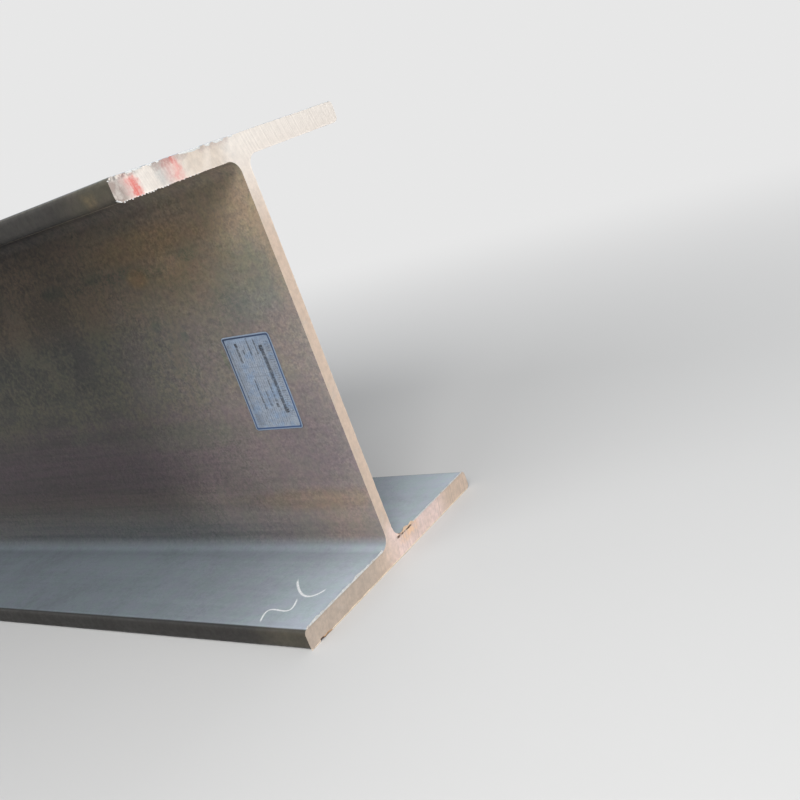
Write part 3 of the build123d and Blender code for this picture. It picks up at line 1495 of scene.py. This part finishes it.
@dataclass
class MeshDraft:
    """The points and faces of a mesh as they are laid, with each face's finish and map places."""

    points: list[np.ndarray] = field(default_factory=list)
    faces: list[tuple[int, ...]] = field(default_factory=list)
    parts: list[Part] = field(default_factory=list)
    spots: list[np.ndarray] = field(default_factory=list)
    total: int = 0

    def ring(self, points: np.ndarray, spots: np.ndarray) -> Ring:
        """Add a ring of points.

        Args:
            points: the points.
            spots: their places on the flat map, the first one's again at the end.

        Returns:
            The ring.
        """
        self.points.append(points)
        numbers = np.arange(self.total, self.total + len(points))
        self.total += len(points)
        return Ring(numbers, spots)

    def face(self, corners: list[Corner], part: Part) -> None:
        """Add one face.

        Args:
            corners: its corners.
            part: its finish.
        """
        self.faces.append(tuple(int(number) for number, _ in corners))
        self.spots.append(np.array([spot for _, spot in corners]))
        self.parts.append(part)

    def wall(self, first: Ring, second: Ring, finish_of: Callable[[int], Part]) -> None:
        """Join two like rings.

        Args:
            first: the ring at the lower x.
            second: the ring at the higher x.
            finish_of: tells the finish of the face that starts at a step.
        """
        for step in range(len(first.numbers)):
            after = step + 1
            corners = [first.corner(step), first.corner(after), second.corner(after), second.corner(step)]
            self.face(corners, finish_of(step))

    def seam(self, sparse: Ring, dense: Ring, coarse: list[int], sparse_is_lower: bool) -> None:
        """Join a ring of the coarse steps to a ring of all the steps.

        Args:
            sparse: the ring of the coarse steps.
            dense: the ring of all the steps.
            coarse: which steps are coarse.
            sparse_is_lower: whether the coarse ring is the one at the lower x.
        """
        turn = -1 if sparse_is_lower else 1
        for index, (start, stop) in enumerate(zip(coarse, [*coarse[1:], len(dense.numbers)])):
            corners = [dense.corner(step) for step in range(start, stop + 1)]
            corners += [sparse.corner(index + 1), sparse.corner(index)]
            self.face(corners[::turn], Part.ROLLED)


@dataclass
class RolledBeam:
    """The beam: rolled faces between two sawn ends, as one closed mesh."""

    section: Section = field(default_factory=Section)
    first_ring: float = 16 * MM
    first_panel: float = 12 * MM
    longest_panel: float = 110 * MM
    growth: float = 1.07
    wave: float = 0.22 * MM
    labelled_seed: int = 11
    labelled_lip: float = 4.0
    plain_seed: int = 29
    plain_lip: float = 1.8
    sliver: Pair = (0.0105, 0.041)
    tear: Pair = (-0.1385, -0.119)
    spur: float = 0.9

    def stations(self, length: float) -> list[float]:
        """Set out the rings of the body, close together near the ends.

        Args:
            length: the beam's length.

        Returns:
            The rings' places along the beam, from the plain end to the labelled end.
        """
        place, panel, start = self.first_ring, self.first_panel, []
        while place < length / 2:
            start.append(place - length / 2)
            place += panel
            panel = min(panel * self.growth, self.longest_panel)
        return start + [-x for x in reversed(start)]

    def waves(self, x: float) -> np.ndarray:
        """Work out how far the rolled faces stand back from true at one ring.

        Args:
            x: the ring's place along the beam.

        Returns:
            The distance inward, one a step of the walk.
        """
        y, z = self.perimeter.places.T
        swell = np.sin(x * 7.1 + z * 23.0 + 1.3 * np.sin(y * 17.0)) * np.sin(x * 2.3 - y * 31.0 + z * 9.0)
        fine = np.sin(x * 41.0 + y * 57.0 - z * 38.0 + 2.0 * np.sin(z * 31.0))
        return self.wave * (0.5 + 0.35 * swell + 0.15 * fine)

    def build(self) -> bpy.types.Object:
        """Build the mesh and dress it.

        Returns:
            The beam.
        """
        low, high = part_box("i_beam")
        self.perimeter = self.section.perimeter()
        flat = FlatMap(self.section, self.perimeter, low[0], high[0])
        draft = MeshDraft()
        body = []
        for x in self.stations(high[0] - low[0]):
            spots = flat.ring(flat.along(x), sparse=True)
            body.append(draft.ring(self.perimeter.ring(x, -self.waves(x), sparse=True), spots))
        for first, second in zip(body, body[1:]):
            draft.wall(first, second, lambda step: Part.ROLLED)
        shape = (self.section, self.perimeter)
        tears = (self.sliver, self.tear, self.spur)
        labelled = SawnEnd(*shape, high[0], 1.0, self.labelled_seed, self.labelled_lip, *tears)
        plain = SawnEnd(*shape, low[0], -1.0, self.plain_seed, self.plain_lip)
        self._close(draft, flat, labelled, body[-1])
        self._close(draft, flat, plain, body[0])
        return self._dress(draft)

    def _close(self, draft: MeshDraft, flat: FlatMap, end: SawnEnd, last: Ring) -> None:
        """Close one end of the body with its burr and its sawn face.

        Args:
            draft: the mesh so far.
            flat: where things go on the flat map.
            end: the sawn end.
            last: the body's last ring at that end.
        """
        forward = end.forward > 0
        rings = []
        for index, points in enumerate(end.rings()):
            rings.append(draft.ring(points, flat.ring(flat.end_strip(forward, index, points[0][0]))))
        draft.seam(last, rings[0], self.perimeter.coarse, forward)
        for index, (first, second) in enumerate(zip(rings, rings[1:])):
            ordered = (first, second) if forward else (second, first)
            draft.wall(*ordered, partial(end.finish_of, index))
        turn = 1 if forward else -1
        for steps, spots in flat.caps(forward):
            draft.face(list(zip(rings[-1].numbers[steps], spots))[::turn], Part.SAWN)

    def _dress(self, draft: MeshDraft) -> bpy.types.Object:
        """Turn the draft into the finished piece.

        Args:
            draft: the points and faces.

        Returns:
            The beam.
        """
        mesh = bpy.data.meshes.new("rolled_beam")
        mesh.from_pydata(np.vstack(draft.points).tolist(), [], draft.faces)
        layer = mesh.uv_layers.new(name=FlatMap.NAME)
        layer.data.foreach_set("uv", np.vstack(draft.spots).ravel())
        for finish in (RolledFinish(), SawnFinish(), BRIGHT_BURR, TORN_BURR):
            mesh.materials.append(finish.build())
        mesh.polygons.foreach_set("material_index", [part.value for part in draft.parts])
        mesh.polygons.foreach_set("use_smooth", [part is Part.ROLLED for part in draft.parts])
        mesh.validate()
        mesh.update()
        piece = place_object("rolled_beam", mesh)
        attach(piece, BODY)
        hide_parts("i_beam")
        return piece


@dataclass
class StockLabel:
    """The printed paper label, stuck to the web a little askew with its corners lifting."""

    PRINT_MAP = "print"
    CORNER_LIFTS = ((1, 1, 0.55), (-1, 1, 1.0), (1, -1, 0.8), (-1, -1, 0.35))

    width: float = 67 * MM
    height: float = 105 * MM
    setback: float = 83 * MM
    middle_z: float = 213 * MM
    web_face: float = -6.5 * MM
    turn: float = math.radians(1.8)
    corner: float = 4 * MM
    thickness: float = 0.2 * MM
    lift: float = 1.1 * MM
    lift_reach: float = 13 * MM
    bubble: float = 0.1 * MM
    grid: float = 3 * MM

    def _round_corner(self, p: float, q: float) -> Pair:
        """Pull a point of a square-cornered sheet in to the rounded corner.

        Args:
            p: place across, from the middle.
            q: place up, from the middle.

        Returns:
            The place on the rounded sheet.
        """
        flat_p, flat_q = self.width / 2 - self.corner, self.height / 2 - self.corner
        over_p = (abs(p) - flat_p) / self.corner
        over_q = (abs(q) - flat_q) / self.corner
        if over_p <= 0 or over_q <= 0:
            return p, q
        pull_p = flat_p + over_p * math.sqrt(1 - over_q**2 / 2) * self.corner
        pull_q = flat_q + over_q * math.sqrt(1 - over_p**2 / 2) * self.corner
        return math.copysign(pull_p, p), math.copysign(pull_q, q)

    def _stand(self, p: float, q: float) -> float:
        """Work out how far the sheet stands off the web.

        Args:
            p: place across, from the middle.
            q: place up, from the middle.

        Returns:
            The distance, in metres.
        """
        out = self.bubble * (1 + math.sin(p * 210 + 0.7) * math.sin(q * 120 + 0.3))
        for side_p, side_q, share in self.CORNER_LIFTS:
            far = math.hypot(p - side_p * self.width / 2, q - side_q * self.height / 2)
            out += share * self.lift * max(0.0, 1 - far / self.lift_reach) ** 2
        return out

    def _lines(self, size: float) -> list[float]:
        """Set out the grid lines across a side, finer in the corners.

        Args:
            size: the side's length.

        Returns:
            The places, from the middle of the side.
        """
        inner = size / 2 - self.corner
        corner = [inner + self.corner * share for share in (0.2, 0.4, 0.6, 0.8, 1.0)]
        count = round(2 * inner / self.grid)
        middle = [-inner + 2 * inner * index / count for index in range(count + 1)]
        return [-place for place in reversed(corner)] + middle + corner

    def build(self, end_x: float) -> bpy.types.Object:
        """Build the sheet and its print.

        Args:
            end_x: the labelled end's place along the beam.

        Returns:
            The label.
        """
        across, up = self._lines(self.width), self._lines(self.height)
        columns, rows = len(across), len(up)
        cos, sin = math.cos(self.turn), math.sin(self.turn)
        points, print_places = [], []
        for layer in (self.thickness, 0.0):
            for q_line in up:
                for p_line in across:
                    p, q = self._round_corner(p_line, q_line)
                    x = end_x - self.setback + p * cos + q * sin
                    z = self.middle_z - p * sin + q * cos
                    points.append((x, self.web_face - (self._stand(p, q) + layer), z))
                    print_places.append((p / self.width + 0.5, q / self.height + 0.5))
        back = columns * rows
        faces = []
        for row in range(rows - 1):
            for column in range(columns - 1):
                a = row * columns + column
                faces.append((a, a + 1, a + 1 + columns, a + columns))
                faces.append((back + a, back + a + columns, back + a + 1 + columns, back + a + 1))
        rim = list(range(columns))
        rim += [row * columns + columns - 1 for row in range(1, rows)]
        rim += [(rows - 1) * columns + column for column in range(columns - 2, -1, -1)]
        rim += [row * columns for row in range(rows - 2, 0, -1)]
        for first, second in zip(rim, rim[1:] + rim[:1]):
            faces.append((first, back + first, back + second, second))
        return self._dress(points, faces, print_places)

    def _dress(
        self, points: list[Triple], faces: list[tuple[int, ...]], print_places: list[Pair]
    ) -> bpy.types.Object:
        """Turn the points and faces into the finished piece.

        Args:
            points: the mesh's points.
            faces: its faces, by the numbers of their points.
            print_places: each point's place in the print.

        Returns:
            The label.
        """
        mesh = bpy.data.meshes.new("stock_label")
        mesh.from_pydata(points, [], faces)
        layer = mesh.uv_layers.new(name=self.PRINT_MAP)
        for corner in mesh.loops:
            layer.data[corner.index].uv = print_places[corner.vertex_index]
        mesh.materials.append(LabelFinish(self.width, self.height).build())
        mesh.polygons.foreach_set("use_smooth", [True] * len(mesh.polygons))
        mesh.validate()
        mesh.update()
        piece = place_object("stock_label", mesh)
        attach(piece, BODY)
        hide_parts("web_label")
        return piece


@dataclass(frozen=True)
class Lamp:
    """One soft lamp: where it hangs, what it points at, its width and height, and its watts."""

    name: str
    place: Triple
    aim: Triple
    size: Pair
    power: float
    colour: Triple = (1.0, 1.0, 1.0)

    def hang(self) -> None:
        """Hang the lamp, out of the camera's sight."""
        data = bpy.data.lights.new(self.name, "AREA")
        data.shape = "RECTANGLE"
        data.size, data.size_y = self.size
        data.energy = self.power
        data.color = self.colour
        lamp = place_object(self.name, data)
        lamp.location = self.place
        lamp.rotation_euler = (Vector(self.aim) - Vector(self.place)).to_track_quat("-Z", "Y").to_euler()
        lamp.visible_camera = False


@dataclass
class Studio:
    """The floor, the pale surroundings and the soft lamps."""

    reach: float = 30.0
    ambient: float = 0.4
    ambient_colour: Colour = (0.94, 0.97, 1.0, 1.0)
    lamps: tuple[Lamp, ...] = (
        Lamp("key", (4.4, -1.5, 1.8), (2.9, 0.0, 0.2), (1.4, 1.1), 52.0, (1.0, 0.985, 0.96)),
        Lamp("long_front", (0.0, -4.2, 4.2), (0.0, 0.0, 0.1), (8.0, 2.4), 110.0),
        Lamp("long_back", (0.0, 4.8, 3.6), (0.0, 0.0, 0.1), (8.0, 2.0), 90.0),
    )

    def build(self) -> None:
        """Build the floor, the world and the lamps."""
        self._floor()
        self._world()
        for lamp in self.lamps:
            lamp.hang()

    def _floor(self) -> None:
        """Lay the floor."""
        sides = ((-1, -1), (1, -1), (1, 1), (-1, 1))
        mesh = bpy.data.meshes.new("floor")
        mesh.from_pydata([(x * self.reach, y * self.reach, 0) for x, y in sides], [], [(0, 1, 2, 3)])
        mesh.materials.append(FloorFinish().build())
        place_object("floor", mesh)

    def _world(self) -> None:
        """Set the soft light from all round and the pale background."""
        world = bpy.data.worlds.new("surroundings")
        world.use_nodes = True
        board = NodeBoard(world.node_tree)
        kind = "ShaderNodeBackground"
        light = board.read(kind, {"Color": self.ambient_colour, "Strength": self.ambient})
        pale = board.read(kind, {"Color": FloorFinish.distance_pale, "Strength": 1.0})
        mixed = board.read("ShaderNodeMixShader", {0: board.seen_directly(), 1: light, 2: pale})
        board.node("ShaderNodeOutputWorld", {"Surface": mixed})
        bpy.context.scene.world = world


@dataclass(frozen=True)
class PhotoCamera:
    """The camera at the photograph's place, tilted as it was held, with its angles in degrees."""

    place: Triple = (3.6216, -0.6542, 0.4294)
    heading: float = 39.96
    dip: float = 16.65
    roll: float = 20.35
    lens: float = 43.36
    sensor: float = 36.0
    nearest: float = 0.02
    farthest: float = 200.0

    def build(self) -> None:
        """Build the camera and make it the scene's."""
        data = bpy.data.cameras.new("camera")
        data.lens = self.lens
        data.sensor_width = self.sensor
        data.clip_start = self.nearest
        data.clip_end = self.farthest
        camera = place_object("camera", data)
        turn = Matrix.Rotation(math.radians(self.heading), 4, "Z")
        turn @= Matrix.Rotation(math.radians(90.0 - self.dip), 4, "X")
        turn @= Matrix.Rotation(math.radians(-self.roll), 4, "Z")
        camera.matrix_world = Matrix.Translation(Vector(self.place)) @ turn
        bpy.context.scene.camera = camera


def write_sizes() -> None:
    """Bring the view layer up to date.
    """
    bpy.context.view_layer.update()


def main() -> None:
    """Build the studio, the camera and the two pieces."""
    logging.basicConfig(level=logging.INFO, format="%(message)s")
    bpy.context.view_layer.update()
    bpy.context.scene.view_settings.view_transform = "Standard"
    PhotoCamera().build()
    Studio().build()
    beam = RolledBeam().build()
    log.info("%s: %d faces", beam.name, len(beam.data.polygons))
    label = StockLabel().build(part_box("i_beam")[1][0])
    log.info("%s: %d faces", label.name, len(label.data.polygons))
    write_sizes()


if __name__ == "__main__":
    main()
